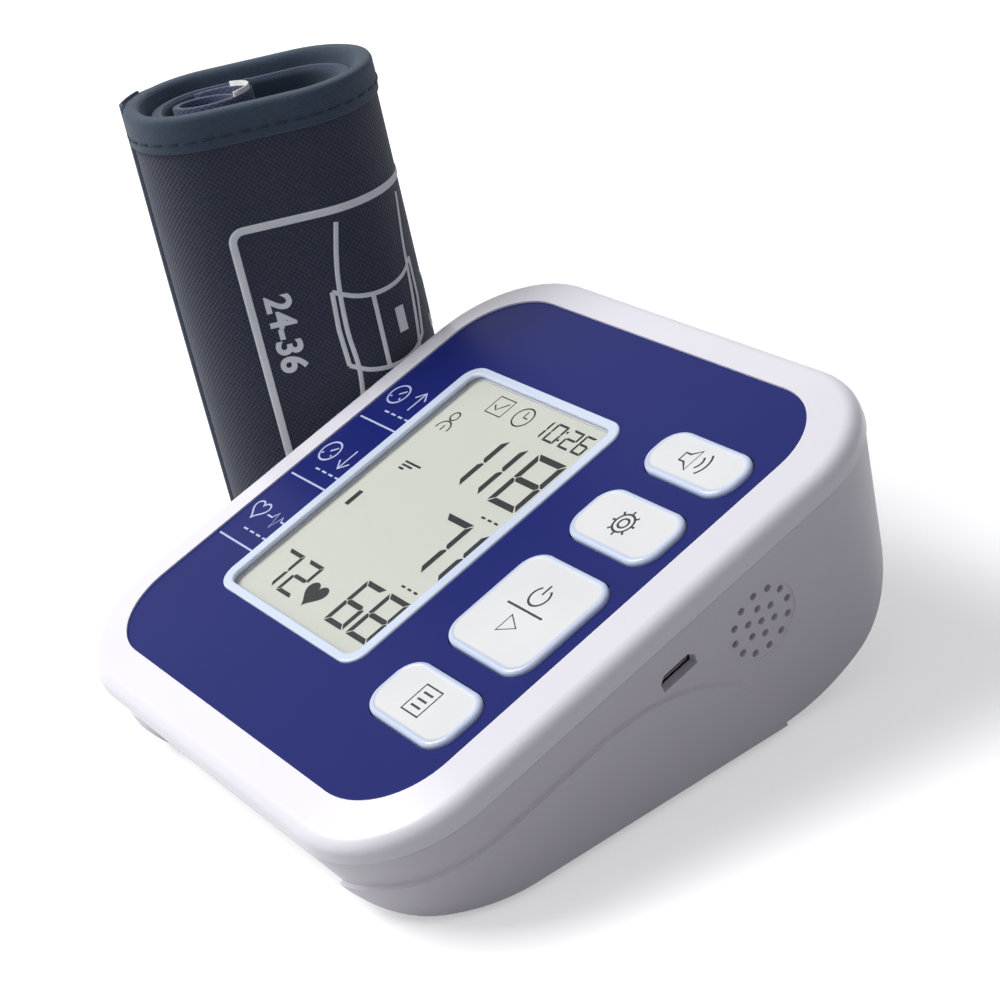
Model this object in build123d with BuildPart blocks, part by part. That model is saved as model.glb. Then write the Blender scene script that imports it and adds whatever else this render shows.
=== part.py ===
from build123d import *
import os
from math import cos, radians, sin, tan

os.makedirs("parts", exist_ok=True)

# Driving dimensions in millimetres and degrees
panel_width = 120.0
panel_length = 125.2
panel_corner = 18.0
panel_thickness = 1.2
panel_height = 43.5
tilt = 15.9
border = 9.8
cover_corner = 26.4
seam_drop = 6.0
seam_gap = 0.4
wall = 2.4
cover_plate = 2.0
wall_lean = 10.9
foot_height = 1.2
rear_radius = 41.0
front_radius = 12.0
crown_drop = 1.2
crown_rise = 0.4
lip_height = 2.4
lip_wall = 1.2
crown_round = 3.4
fit = 0.2
press = 0.1
run_clearance = 0.08

# Plinth that steps out round each front corner
plinth_step = 1.0
plinth_ledge = 15.0
side_arch_start = -19.8
side_arch_length = 39.6
side_arch_height = 34.8
front_arch_end = 36.0
front_arch_length = 20.0
front_arch_height = 12.0

# Display
bezel_left = 16.9
bezel_width = 59.3
bezel_length = 78.6
bezel_corner = 5.0
bezel_rim_side = 2.95
bezel_rim_end = 2.2
bezel_proud = 0.5
lens_thickness = 0.9
lens_ledge = 1.0
glass_thickness = 2.6
reflector_thickness = 0.8
holder_wall = 1.6
leg_radius = 2.4
zebra_inset = 5.0
zebra_width = 2.0
zebra_length = 60.0

# Keys down the right of the display: place along the face, length, travel
key_side = 18.0
key_width = 28.0
key_corner = 5.6
key_gap = 0.3
key_proud = 1.0
key_flange = 1.4
key_flange_thickness = 1.2
key_travel = 0.6
key_round = 0.9
key_stem_radius = 3.0
keys = {"sound": (37.5, 12.8), "set": (17.4, 15.2), "start": (-9.8, 27.6), "memory": (-37.1, 15.2)}

# Boards
board_top = 11.6
board_thickness = 1.6
board_left_margin = 12.0
board_right_margin = 10.5
board_front = -43.0
board_rear = 42.0
switch_body = 6.0
switch_height = 3.5
switch_stem_radius = 1.7
switch_stem_height = 0.8
board_screw_radius = 1.1
board_pilot = 0.95
board_post_radius = 2.4
board_screw_bite = 5.0
board_head_radius = 2.2
board_head_height = 1.4
board_corner = 2.0
board_tab_reach = 4.0
board_post_inset = 2.8
board_post_left_along = 36.0
board_post_right = 21.0
board_post_right_along = 33.0
chips = [(4.0, 22.0, 12.0, 12.0), (22.0, 22.0, 12.0, 12.0), (36.0, 18.0, 8.0, 5.0)]
chip_height = 1.6
capacitor_places = [(38.0, 32.0), (38.0, 4.0), (-22.0, 10.0)]
capacitor_radius = 3.0
capacitor_height = 7.0

# Side openings
slot_place = 1.9
usb_width = 8.2
usb_height = 2.9
usb_chamfer = 1.1
usb_shell = 0.3
usb_length = 5.6
usb_tongue = 0.7
usb_tongue_width = 6.0
usb_tongue_setback = 1.0
slot_gap = 0.45
grille_place = 23.1
grille_depth = 20.8
grille_inner = 3.6
grille_outer = 7.3
grille_hole = 0.85
grille_dish = 8.8
grille_dish_depth = 0.3
grille_turn = 29.0
speaker_radius = 10.0
speaker_depth = 4.0
speaker_wall = 0.8
cone_setback = 0.6
cone_coil_radius = 4.0
cone_back_room = 0.5
magnet_radius = 5.5
magnet_height = 2.4
socket_place = -22.0
socket_depth = 24.0
socket_bore = 2.1
socket_radius = 3.6
socket_flange = 5.0
socket_flange_height = 1.2
socket_length = 12.0
socket_bore_length = 10.0

# Case screws
boss_radius = 4.2
post_radius = 3.2
screw_radius = 1.3
screw_pilot = 1.1
screw_head_radius = 2.4
screw_head_height = 1.8
boss_top = 18.0
screw_seat = 3.0
screw_bite = 8.0
boss_front_side = 3.0
boss_front_end = 8.6
boss_rear_side = 10.0
boss_rear_end = 12.6

# Battery bay, four AA cells side by side
cell_radius = 7.15
cell_length = 49.3
cell_nub_radius = 2.7
cell_nub_length = 1.2
cell_pitch = 15.0
bay_front = -30.0
bay_end_gap = 4.2
bay_wall = 1.6
door_thickness = 2.2
door_gap = 0.3
door_ledge = 2.0
door_pin_radius = 0.6
door_pin_length = 2.6
frame_wall = 1.2
thumb_place = 8.0
thumb_pitch = 1.6
thumb_width = 16.0
thumb_depth = 0.5
thumb_count = 5
contact_thickness = 0.4
contact_width = 8.0
spring_radius = 3.5
spring_wire = 0.5

# Air pump and its ribs
pump_setback = 14.6
pump_z = 27.0
motor_radius = 12.0
motor_length = 30.0
motor_round = 1.0
motor_left = -2.0
head_length = 22.0
head_half = 11.0
head_corner = 4.0
cavity_radius = 8.0
cavity_length = 14.0
shaft_radius = 1.0
shaft_grip = 8.0
shaft_end_gap = 1.0
shaft_reach = 12.0
cam_offset = 1.5
cam_radius = 4.0
cam_length = 5.0
rib_places = [3.0, 20.0]
rib_wall = 1.6

# Air manifold, valve, sensor and tubes
nozzle_radius = 1.9
nozzle_length = 6.0
nipple_length = 4.0
tube_radius = 2.6
manifold_x = -44.0
manifold_setback = 45.1
manifold_width = 10.0
manifold_length = 26.0
manifold_height = 10.0
manifold_corner = 2.0
valve_offset = -3.5
valve_width = 10.0
valve_length = 16.0
valve_height = 10.0
valve_corner = 1.0
plunger_radius = 1.5
plunger_bore = 10.0
plunger_length = 11.0
plunger_travel = 0.8
sensor_nozzle_offset = 9.5
sensor_bend_z = 22.0
sensor_width = 6.0
sensor_height = 3.0
sensor_port = 1.6
sensor_port_length = 4.0
pump_tube_end = 7.5
socket_run = 9.0

# Feet
foot_radius = 5.0
foot_seat = 0.8
foot_round = 0.5
foot_side = 18.0
foot_front = 18.6
foot_rear = 38.6

# Cuff, rolled up and standing on its edge
cuff_height = 120.0
cuff_width = 58.0
cuff_depth = 38.0
cuff_corner = 18.5
cuff_gap = 26.7
cuff_along = 24.0
cuff_turn = -28.0
cloth = 1.4
bladder = 1.6
lining = 1.2
inner_turn_wall = 3.4
layer_gap = 0.3
cuff_hem = 12.0
lining_drop = 1.0
inner_turn_drop = 3.0
patch = 1.2
patch_low = 34.0
patch_high = 108.0
patch_width = 36.0
port_height = 20.0
port_radius = 4.0
port_bore = 2.0
port_length = 9.0


def face_point(x, along, out):
    """World point of a place on the tilted face: across, up the face, and out of it."""
    return (x, along * tilt_cos - out * tilt_sin, panel_height + along * tilt_sin + out * tilt_cos)


def wall_half(out):
    """Half width of the leaning side walls, at a distance out of the face."""
    return cover_width / 2 - seam_gap + lean_slope * (out - seam)


def wall_plane(sign, along, out, inset=0.0):
    """Plane on a leaning side wall, facing away from the housing; sign is 1 right, -1 left."""
    lean = radians(wall_lean)
    outward = Vector(sign * cos(lean), sin(lean) * tilt_sin, -sin(lean) * tilt_cos)
    origin = Vector(*face_point(sign * wall_half(out), along, out)) - outward * inset
    return Plane(origin, (0, tilt_cos, tilt_sin), outward)


def usb_outline(width, height, corner):
    """Socket outline with its two upper corners cut off."""
    half, top = width / 2, height / 2
    right = [(half, -top), (half, top - corner), (half - corner, top)]
    return right + [(-x, y) for x, y in reversed(right)]


def export(piece, label):
    piece.part.label = label
    export_step(piece.part, f"parts/{label}.step")


# Worked out from the driving dimensions
cover_width = panel_width + 2 * border
cover_length = panel_length + 2 * border
half_width = panel_width / 2
half_length = panel_length / 2
bezel_centre = bezel_left + bezel_width / 2 - half_width
key_centre = half_width - key_side
board_left = board_left_margin - half_width
board_right = half_width - board_right_margin
board_post_left = board_left + board_post_inset
board_posts = [(board_post_left, sign * board_post_left_along) for sign in (-1, 1)]
board_posts += [(board_post_right, sign * board_post_right_along) for sign in (-1, 1)]
boss_places = [(sign * (half_width - boss_front_side), boss_front_end - half_length) for sign in (-1, 1)]
boss_places += [(sign * (half_width - boss_rear_side), half_length - boss_rear_end) for sign in (-1, 1)]
foot_places = [(sign * (half_width - foot_side), foot_front - half_length) for sign in (-1, 1)]
foot_places += [(sign * (half_width - foot_side), half_length - foot_rear) for sign in (-1, 1)]
pump_y = half_length - pump_setback
manifold_y = half_length - manifold_setback
valve_y = manifold_y + valve_offset
sensor_nozzle_y = manifold_y + sensor_nozzle_offset
cuff_place = (-cover_width / 2 - cuff_gap, cuff_along)
lean_slope = tan(radians(wall_lean))
base_z = foot_height
tilt_sin = sin(radians(tilt))
tilt_cos = cos(radians(tilt))
face = Plane(origin=(0, 0, panel_height), x_dir=(1, 0, 0), z_dir=(0, -tilt_sin, tilt_cos))
side = Plane(origin=(0, 0, panel_height), x_dir=(0, tilt_cos, tilt_sin), z_dir=(1, 0, 0))
front = Plane(origin=(0, 0, panel_height), x_dir=(1, 0, 0), z_dir=(0, -tilt_cos, -tilt_sin))
seam = -seam_drop
plate_under = -panel_thickness - cover_plate
board_under = -board_top - board_thickness
body_depth = panel_height + cover_length * tilt_sin
window_width = bezel_width - 2 * bezel_rim_side
window_length = bezel_length - 2 * bezel_rim_end
window_corner = bezel_corner - bezel_rim_end
glass_under = -panel_thickness - fit - glass_thickness
holder_floor = glass_under - reflector_thickness
zebra_x = bezel_centre - window_width / 2 + zebra_inset / 2
lip_inset = seam_gap + wall / cos(radians(wall_lean)) + lean_slope * lip_height + fit
key_stem_end = -board_top + switch_height + switch_stem_height + key_travel + press
slot_depth = board_top + board_thickness + usb_height / 2
usb_front = wall_half(-slot_depth - usb_height / 2) - wall / cos(radians(wall_lean)) - press
usb_inner = usb_front - usb_length
usb_plane = Plane(face_point(usb_front, slot_place, -slot_depth), (0, tilt_cos, tilt_sin), (1, 0, 0))
grille_plane = wall_plane(1, grille_place, -grille_depth)
speaker_plane = wall_plane(1, grille_place, -grille_depth, wall)
socket_plane = wall_plane(-1, socket_place, -socket_depth)
bay_length = 4 * cell_pitch + 2 * fit
bay_rear = bay_front + bay_length
bay_middle = (bay_front + bay_rear) / 2
bay_half = (cell_length + cell_nub_length) / 2 + bay_end_gap
door_half = bay_half + door_ledge - door_gap
door_front = bay_front - door_ledge + door_gap
door_axis_y = bay_rear + door_ledge - door_gap - door_thickness / 2
door_axis_z = base_z + door_thickness / 2
cell_z = base_z + door_thickness + fit + cell_radius
bay_roof = cell_z + cell_radius + fit
manifold_z = base_z + wall + manifold_height / 2
valve_z = manifold_z + (manifold_height + valve_height) / 2
manifold_front = manifold_y - manifold_length / 2 - nipple_length
manifold_rear = manifold_y + manifold_length / 2 + nipple_length
sensor_along = sensor_nozzle_y * tilt_cos + (sensor_bend_z - panel_height) * tilt_sin
turn = radians(cuff_turn)
cuff_plane = Plane((*cuff_place, 0), x_dir=(cos(turn), sin(turn), 0), z_dir=(0, 0, 1))


def housing_form(inset, floor_z):
    """Body of the lower housing, a number of millimetres inside its outer skin."""
    side_inset = inset / cos(radians(wall_lean))
    half = cover_length / 2 - seam_gap - side_inset
    shrink = lean_slope * body_depth
    drop = floor_z - panel_height
    reach = half + lean_slope * (drop / tilt_cos - seam)
    # where the leaning rear and front walls would meet the flat base
    rear_along = reach / (1 + lean_slope * tilt_sin / tilt_cos)
    front_along = -reach / (1 - lean_slope * tilt_sin / tilt_cos)
    rear_y = (rear_along - drop * tilt_sin) / tilt_cos
    front_y = (front_along - drop * tilt_sin) / tilt_cos
    rear_top = face_point(0, half, seam)
    front_top = face_point(0, -half, seam)
    slack = 0.05
    with BuildPart() as form:
        with BuildSketch(face.offset(seam - seam_gap - body_depth)):
            RectangleRounded(
                cover_width - 2 * (seam_gap + side_inset + shrink),
                cover_length - 2 * (seam_gap + side_inset + shrink),
                cover_corner - seam_gap - side_inset - shrink / 2,
            )
        with BuildSketch(face.offset(seam - seam_gap)):
            RectangleRounded(
                cover_width - 2 * (seam_gap + side_inset),
                cover_length - 2 * (seam_gap + side_inset),
                cover_corner - seam_gap - side_inset,
            )
        loft(ruled=True)
        with BuildSketch(Plane.YZ) as profile:
            with BuildLine():
                Polyline(
                    (front_y - slack, floor_z),
                    (rear_y + slack, floor_z),
                    (rear_top[1] + slack, rear_top[2]),
                    (rear_top[1] + slack, 3 * panel_height),
                    (front_top[1] - slack, 3 * panel_height),
                    (front_top[1] - slack, front_top[2]),
                    close=True,
                )
            make_face()
            fillet(profile.vertices().group_by(Axis.Y)[0].sort_by(Axis.X)[-1], rear_radius - inset)
            fillet(profile.vertices().group_by(Axis.Y)[0].sort_by(Axis.X)[0], front_radius - inset)
        extrude(amount=cover_width, both=True, mode=Mode.INTERSECT)
    return form.part


with BuildPart() as front_cover:
    with BuildSketch(face.offset(seam)):
        RectangleRounded(cover_width, cover_length, cover_corner)
    extrude(amount=seam_drop - crown_drop)
    with BuildSketch(face.offset(-crown_drop)):
        RectangleRounded(cover_width, cover_length, cover_corner)
    with BuildSketch(face.offset(crown_rise)):
        RectangleRounded(panel_width + 2 * fit, panel_length + 2 * fit, panel_corner + fit)
    loft(ruled=True)
    crown_edges = front_cover.edges().filter_by(lambda e: abs(face.to_local_coords(e.center()).Z + crown_drop) < 0.01)
    fillet(crown_edges, crown_round)
    # recess for the overlay panel
    with BuildSketch(face.offset(crown_rise)):
        RectangleRounded(panel_width + 2 * press, panel_length + 2 * press, panel_corner + press)
    extrude(amount=-crown_rise - panel_thickness, mode=Mode.SUBTRACT)
    # hollow underside and the locating lip
    with BuildSketch(face.offset(seam)):
        RectangleRounded(cover_width - 2 * wall, cover_length - 2 * wall, cover_corner - wall)
    extrude(amount=plate_under - seam, mode=Mode.SUBTRACT)
    with BuildSketch(face.offset(seam - lip_height)):
        RectangleRounded(cover_width - 2 * lip_inset, cover_length - 2 * lip_inset, cover_corner - lip_inset)
        RectangleRounded(
            cover_width - 2 * (lip_inset + lip_wall),
            cover_length - 2 * (lip_inset + lip_wall),
            cover_corner - lip_inset - lip_wall,
            mode=Mode.SUBTRACT,
        )
    extrude(amount=plate_under - seam + lip_height)
    # windows for the display and the keys
    with BuildSketch(face):
        with Locations((bezel_centre, 0)):
            RectangleRounded(window_width, window_length, window_corner)
        for along, length in keys.values():
            with Locations((key_centre, along)):
                RectangleRounded(key_width + 2 * key_gap, length + 2 * key_gap, key_corner + key_gap)
    extrude(amount=plate_under, mode=Mode.SUBTRACT)
    # posts for the case screws and the board screws
    with BuildSketch(face.offset(-boss_top)):
        with Locations(*boss_places):
            Circle(post_radius)
    extrude(amount=boss_top + plate_under)
    with BuildSketch(face.offset(-boss_top)):
        with Locations(*boss_places):
            Circle(screw_pilot)
    extrude(amount=screw_bite + fit, mode=Mode.SUBTRACT)
    with BuildSketch(face.offset(-board_top)):
        with Locations(*board_posts):
            Circle(board_post_radius)
    extrude(amount=board_top + plate_under)
    with BuildSketch(face.offset(-board_top)):
        with Locations(*board_posts):
            Circle(board_pilot)
    extrude(amount=board_screw_bite + fit, mode=Mode.SUBTRACT)
export(front_cover, "front_cover")

with BuildPart() as overlay_panel:
    with BuildSketch(face):
        RectangleRounded(panel_width, panel_length, panel_corner)
        with Locations((bezel_centre, 0)):
            RectangleRounded(bezel_width + 2 * press, bezel_length + 2 * press, bezel_corner + press, mode=Mode.SUBTRACT)
        for along, length in keys.values():
            with Locations((key_centre, along)):
                RectangleRounded(
                    key_width + 2 * key_gap, length + 2 * key_gap, key_corner + key_gap, mode=Mode.SUBTRACT
                )
    extrude(amount=-panel_thickness)
export(overlay_panel, "overlay_panel")

with BuildPart() as display_bezel:
    with BuildSketch(face.offset(-panel_thickness)):
        with Locations((bezel_centre, 0)):
            RectangleRounded(bezel_width, bezel_length, bezel_corner)
            RectangleRounded(window_width, window_length, window_corner, mode=Mode.SUBTRACT)
    extrude(amount=panel_thickness + bezel_proud)
    bezel_top = display_bezel.faces().sort_by(Axis(face.origin, face.z_dir))[-1]
    fillet(bezel_top.edges(), bezel_proud - 0.05)
    with BuildSketch(face.offset(-panel_thickness)):
        with Locations((bezel_centre, 0)):
            RectangleRounded(
                window_width + 2 * lens_ledge, window_length + 2 * lens_ledge, window_corner + lens_ledge
            )
    extrude(amount=lens_thickness, mode=Mode.SUBTRACT)
export(display_bezel, "display_bezel")

with BuildPart() as display_lens:
    with BuildSketch(face.offset(-panel_thickness)):
        with Locations((bezel_centre, 0)):
            RectangleRounded(
                window_width + 2 * (lens_ledge - press),
                window_length + 2 * (lens_ledge - press),
                window_corner + lens_ledge - press,
            )
    extrude(amount=lens_thickness)
export(display_lens, "display_lens")

with BuildPart() as lcd_glass:
    with BuildSketch(face.offset(glass_under)):
        with Locations((bezel_centre, 0)):
            RectangleRounded(window_width - 2 * press, window_length - 2 * press, window_corner - press)
    extrude(amount=glass_thickness)
export(lcd_glass, "lcd_glass")

with BuildPart() as lcd_reflector:
    with BuildSketch(face.offset(glass_under - reflector_thickness)):
        with Locations((bezel_centre + zebra_inset / 2, 0)):
            Rectangle(window_width - zebra_inset - 2 * press, window_length - 2 * press)
    extrude(amount=reflector_thickness)
export(lcd_reflector, "lcd_reflector")

with BuildPart() as lcd_holder:
    with BuildSketch(face.offset(holder_floor - holder_wall)):
        with Locations((bezel_centre, 0)):
            Rectangle(window_width + 2 * holder_wall, window_length + 2 * holder_wall)
    extrude(amount=holder_wall + plate_under - holder_floor - press)
    with BuildSketch(face.offset(holder_floor)):
        with Locations((bezel_centre, 0)):
            Rectangle(window_width, window_length)
    extrude(amount=plate_under - holder_floor, mode=Mode.SUBTRACT)
    with BuildSketch(face.offset(-board_top)):
        with Locations((bezel_centre, 0)):
            with GridLocations(window_width - 2 * leg_radius, window_length - 2 * leg_radius, 2, 2):
                Circle(leg_radius)
    extrude(amount=board_top + holder_floor)
    # slot for the connector strip
    with BuildSketch(face.offset(-board_top)):
        with Locations((zebra_x, 0)):
            Rectangle(zebra_width + 2 * press, zebra_length + 2 * press)
    extrude(amount=board_top + holder_floor, mode=Mode.SUBTRACT)
export(lcd_holder, "lcd_holder")

with BuildPart() as connector_strip:
    with BuildSketch(face.offset(-board_top)):
        with Locations((zebra_x, 0)):
            Rectangle(zebra_width, zebra_length)
    extrude(amount=board_top + glass_under)
export(connector_strip, "connector_strip")

for name, (along, length) in keys.items():
    with BuildPart() as key:
        with BuildSketch(face.offset(plate_under - run_clearance)):
            with Locations((key_centre, along)):
                RectangleRounded(key_width, length, key_corner)
        extrude(amount=key_proud - plate_under + run_clearance)
        key_top = key.faces().sort_by(Axis(face.origin, face.z_dir))[-1]
        fillet(key_top.edges(), key_round)
        with BuildSketch(face.offset(plate_under - run_clearance)):
            with Locations((key_centre, along)):
                RectangleRounded(key_width + 2 * key_flange, length + 2 * key_flange, key_corner + key_flange)
        extrude(amount=-key_flange_thickness)
        with BuildSketch(face.offset(plate_under - run_clearance)):
            with Locations((key_centre, along)):
                Circle(key_stem_radius)
        extrude(amount=-(plate_under - run_clearance - key_stem_end))
    export(key, f"{name}_button")

with BuildPart() as main_board:
    with BuildSketch(face.offset(board_under)):
        with Locations(((board_left + board_right) / 2, (board_front + board_rear) / 2)):
            RectangleRounded(board_right - board_left, board_rear - board_front, board_corner)
        with Locations(((board_right + usb_inner) / 2, slot_place)):
            Rectangle(usb_inner - board_right + board_tab_reach, usb_width + board_tab_reach)
        with Locations(*board_posts):
            Circle(board_screw_radius + fit, mode=Mode.SUBTRACT)
    extrude(amount=board_thickness)
export(main_board, "main_board")

with BuildPart() as tact_switches:
    with BuildSketch(face.offset(-board_top)):
        for along, length in keys.values():
            with Locations((key_centre, along)):
                Rectangle(switch_body, switch_body)
    extrude(amount=switch_height)
    with BuildSketch(face.offset(-board_top + switch_height)):
        for along, length in keys.values():
            with Locations((key_centre, along)):
                Circle(switch_stem_radius)
    extrude(amount=switch_stem_height)
export(tact_switches, "tact_switches")

with BuildPart() as board_chips:
    with BuildSketch(face.offset(board_under)):
        for chip_x, chip_along, chip_width, chip_length in chips:
            with Locations((chip_x, chip_along)):
                Rectangle(chip_width, chip_length)
    extrude(amount=-chip_height)
export(board_chips, "board_chips")

with BuildPart() as capacitors:
    with BuildSketch(face.offset(board_under)):
        with Locations(*capacitor_places):
            Circle(capacitor_radius)
    extrude(amount=-capacitor_height)
export(capacitors, "capacitors")

with BuildPart() as board_screws:
    with BuildSketch(face.offset(board_under)):
        with Locations(*board_posts):
            Circle(board_head_radius)
    extrude(amount=-board_head_height)
    with BuildSketch(face.offset(board_under)):
        with Locations(*board_posts):
            Circle(board_screw_radius)
    extrude(amount=board_thickness + board_screw_bite)
export(board_screws, "board_screws")

with BuildPart() as usb_socket:
    with BuildSketch(usb_plane):
        with BuildLine():
            Polyline(*usb_outline(usb_width, usb_height, usb_chamfer), close=True)
        make_face()
    extrude(amount=-usb_length)
    with BuildSketch(usb_plane):
        with BuildLine():
            Polyline(
                *usb_outline(usb_width - 2 * usb_shell, usb_height - 2 * usb_shell, usb_chamfer - usb_shell / 2),
                close=True,
            )
        make_face()
    extrude(amount=usb_shell - usb_length, mode=Mode.SUBTRACT)
    with BuildSketch(usb_plane.offset(-usb_length)):
        Rectangle(usb_tongue_width, usb_tongue)
    extrude(amount=usb_length - usb_tongue_setback)
export(usb_socket, "usb_socket")

with BuildPart() as speaker_frame:
    with BuildSketch(speaker_plane):
        Circle(speaker_radius)
    extrude(amount=-speaker_depth)
    with BuildSketch(speaker_plane):
        Circle(speaker_radius - speaker_wall)
    extrude(amount=speaker_wall - speaker_depth, mode=Mode.SUBTRACT)
export(speaker_frame, "speaker_frame")

with BuildPart() as speaker_cone:
    with BuildSketch(speaker_plane.offset(-cone_setback)):
        Circle(speaker_radius - speaker_wall - press)
    with BuildSketch(speaker_plane.offset(speaker_wall + cone_back_room - speaker_depth)):
        Circle(cone_coil_radius)
    loft()
export(speaker_cone, "speaker_cone")

with BuildPart() as speaker_magnet:
    with BuildSketch(speaker_plane.offset(-speaker_depth)):
        Circle(magnet_radius)
    extrude(amount=-magnet_height)
export(speaker_magnet, "speaker_magnet")

# Forms that the lower housing is cut from
outer_form = housing_form(0, base_z)
proud_form = housing_form(-plinth_step, base_z)
inner_form = housing_form(wall, base_z + wall)

with BuildPart() as plinths:
    add(proud_form)
    with BuildSketch(side):
        with Locations((side_arch_start, -plinth_ledge)):
            Rectangle(cover_length, cover_length, align=(Align.MAX, Align.MAX))
        with Locations((side_arch_start, -plinth_ledge - side_arch_height)):
            Ellipse(side_arch_length, side_arch_height)
            Rectangle(side_arch_length, cover_length, align=(Align.MIN, Align.MAX))
    extrude(amount=cover_width, both=True, mode=Mode.INTERSECT)
    with BuildSketch(front):
        for sign, away in ((1, Align.MIN), (-1, Align.MAX)):
            with Locations((sign * (front_arch_end + front_arch_length), -plinth_ledge)):
                Rectangle(cover_width, cover_length, align=(away, Align.MAX))
            with Locations((sign * (front_arch_end + front_arch_length), -plinth_ledge - front_arch_height)):
                Ellipse(front_arch_length, front_arch_height)
            with Locations((sign * front_arch_end, -plinth_ledge - front_arch_height)):
                Rectangle(cover_width, cover_length, align=(away, Align.MAX))
    extrude(amount=cover_length, both=True, mode=Mode.INTERSECT)

with BuildPart() as bosses:
    with BuildSketch(face.offset(-boss_top)):
        with Locations(*boss_places):
            Circle(boss_radius)
    extrude(amount=-body_depth)
    add(outer_form, mode=Mode.INTERSECT)

with BuildPart() as pump_ribs:
    for rib_x in rib_places:
        with BuildSketch(Plane.YZ.offset(rib_x)):
            with Locations((pump_y, pump_z)):
                Rectangle(2 * (motor_radius + rib_wall), 2 * motor_radius, align=(Align.CENTER, Align.MAX))
                Circle(motor_radius + press, mode=Mode.SUBTRACT)
        extrude(amount=rib_wall)
    add(housing_form(wall - press, base_z + wall - press), mode=Mode.INTERSECT)

# battery box and the thicker floor round its mouth
with BuildPart() as bay_box:
    with BuildSketch(Plane.XY.offset(base_z)):
        with Locations((0, bay_middle)):
            Rectangle(2 * (bay_half + bay_wall), bay_length + 2 * bay_wall)
    extrude(amount=bay_roof + bay_wall - base_z)
    with BuildSketch(Plane.XY.offset(base_z)):
        with Locations((0, bay_middle)):
            Rectangle(2 * (bay_half + door_ledge + frame_wall), bay_length + 2 * (door_ledge + frame_wall))
    extrude(amount=door_thickness + fit + frame_wall)
    add(outer_form, mode=Mode.INTERSECT)

with BuildPart() as lower_housing:
    add(outer_form)
    add(plinths.part)
    add(inner_form, mode=Mode.SUBTRACT)
    add(bosses.part)
    add(pump_ribs.part)
    add(bay_box.part)
    with BuildSketch(Plane.XY.offset(base_z)):
        with Locations((0, bay_middle)):
            Rectangle(2 * bay_half, bay_length)
    extrude(amount=bay_roof - base_z, mode=Mode.SUBTRACT)
    with BuildSketch(Plane.XY.offset(base_z)):
        with Locations((0, bay_middle)):
            Rectangle(2 * (bay_half + door_ledge), bay_length + 2 * door_ledge)
    extrude(amount=door_thickness + fit, mode=Mode.SUBTRACT)
    with BuildSketch(Plane.YZ):
        with Locations((door_axis_y, door_axis_z)):
            Circle(door_pin_radius + run_clearance)
    extrude(amount=bay_half + door_ledge + door_pin_length, both=True, mode=Mode.SUBTRACT)
    # case screws: clearance from above, head room from below
    with BuildSketch(face.offset(-boss_top)):
        with Locations(*boss_places):
            Circle(screw_radius + press)
    extrude(amount=-body_depth, mode=Mode.SUBTRACT)
    with BuildSketch(face.offset(-boss_top - screw_seat)):
        with Locations(*boss_places):
            Circle(screw_head_radius + fit)
    extrude(amount=-body_depth, mode=Mode.SUBTRACT)
    # charging socket, speaker holes and air socket
    with BuildSketch(usb_plane.offset(-usb_length)):
        with BuildLine():
            Polyline(
                *usb_outline(usb_width + 2 * slot_gap, usb_height + 2 * slot_gap, usb_chamfer + slot_gap / 2),
                close=True,
            )
        make_face()
    extrude(amount=usb_length + 3 * wall, mode=Mode.SUBTRACT)
    with BuildSketch(grille_plane.offset(wall)):
        Circle(grille_dish)
    extrude(amount=-wall - grille_dish_depth, mode=Mode.SUBTRACT)
    with BuildSketch(grille_plane.offset(wall)):
        Circle(grille_hole)
        with PolarLocations(grille_inner, 6, start_angle=grille_turn):
            Circle(grille_hole)
        with PolarLocations(grille_outer, 12, start_angle=grille_turn):
            Circle(grille_hole)
    extrude(amount=-3 * wall, mode=Mode.SUBTRACT)
    with BuildSketch(speaker_plane.offset(wall / 2)):
        Circle(speaker_radius + press + speaker_wall)
        Circle(speaker_radius + press, mode=Mode.SUBTRACT)
    extrude(amount=-speaker_depth - wall / 2)
    with BuildSketch(socket_plane.offset(wall)):
        Circle(socket_radius + press)
    extrude(amount=-3 * wall, mode=Mode.SUBTRACT)
    with BuildSketch(socket_plane):
        Circle(socket_flange + press)
    extrude(amount=wall, mode=Mode.SUBTRACT)
    # seats for the rubber feet
    with BuildSketch(Plane.XY.offset(base_z)):
        with Locations(*foot_places):
            Circle(foot_radius + press)
    extrude(amount=foot_seat, mode=Mode.SUBTRACT)
export(lower_housing, "lower_housing")

with BuildPart() as battery_cover:
    with BuildSketch(Plane.YZ.offset(-door_half)):
        with BuildLine():
            Polyline(
                (door_front, base_z),
                (door_axis_y, base_z),
                (door_axis_y, base_z + door_thickness),
                (door_front, base_z + door_thickness),
                close=True,
            )
        make_face()
        with Locations((door_axis_y, door_axis_z)):
            Circle(door_thickness / 2)
    extrude(amount=2 * door_half)
    with BuildSketch(Plane.YZ):
        with Locations((door_axis_y, door_axis_z)):
            Circle(door_pin_radius)
    extrude(amount=door_half + door_pin_length, both=True)
    with BuildSketch(Plane.XY.offset(base_z)):
        with Locations((0, door_front + thumb_place)):
            with GridLocations(0, thumb_pitch, 1, thumb_count):
                Rectangle(thumb_width, thumb_pitch / 2)
    extrude(amount=thumb_depth, mode=Mode.SUBTRACT)
export(battery_cover, "battery_cover")

for number in range(4):
    cell_y = bay_front + fit + cell_pitch * (number + 0.5)
    nub_end = 1 if number % 2 else -1
    with BuildPart() as cell:
        with BuildSketch(Plane.YZ.offset(-nub_end * (cell_length + cell_nub_length) / 2)):
            with Locations((cell_y, cell_z)):
                Circle(cell_radius)
        extrude(amount=nub_end * cell_length)
        with BuildSketch(Plane.YZ.offset(nub_end * (cell_length - cell_nub_length) / 2)):
            with Locations((cell_y, cell_z)):
                Circle(cell_nub_radius)
        extrude(amount=nub_end * cell_nub_length)
    export(cell, f"battery_{number + 1}")

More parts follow.
